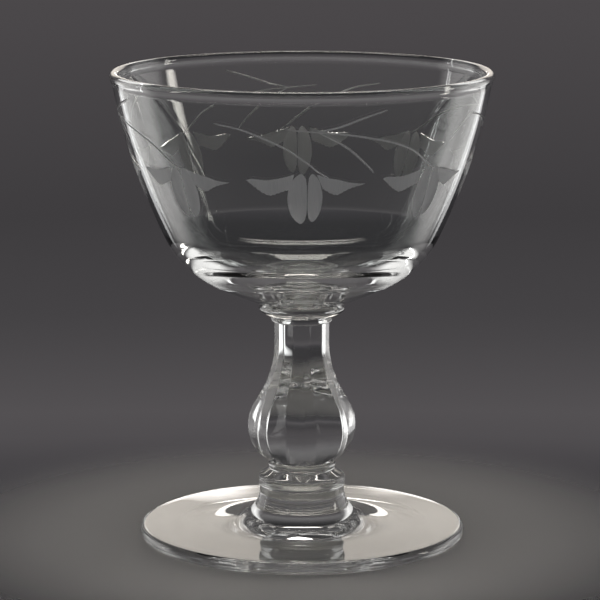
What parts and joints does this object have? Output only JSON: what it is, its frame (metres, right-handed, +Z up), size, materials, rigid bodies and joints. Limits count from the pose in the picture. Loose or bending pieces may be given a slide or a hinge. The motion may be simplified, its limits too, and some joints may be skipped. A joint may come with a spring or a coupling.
{
  "type": "champagne coupe",
  "caption": "Clear-glass champagne coupe: a flared bowl with a rolled rim and cut flowers, on a panelled baluster stem between collars, and a broad round foot.",
  "frame": {"origin": "centre of the face that the foot rests on", "axes": "+Z up the stem towards the mouth; +X and +Y through arrises of the stem's panels"},
  "size_m": [0.098, 0.098, 0.121],
  "materials": {
    "clear_glass": "fire-polished clear soda-lime glass"
  },
  "bodies": {
    "root": {"foot": "clear_glass", "foot_merese": "clear_glass", "baluster_stem": "clear_glass", "bowl_merese": "clear_glass", "bowl": "clear_glass"}
  },
  "joints": []
}
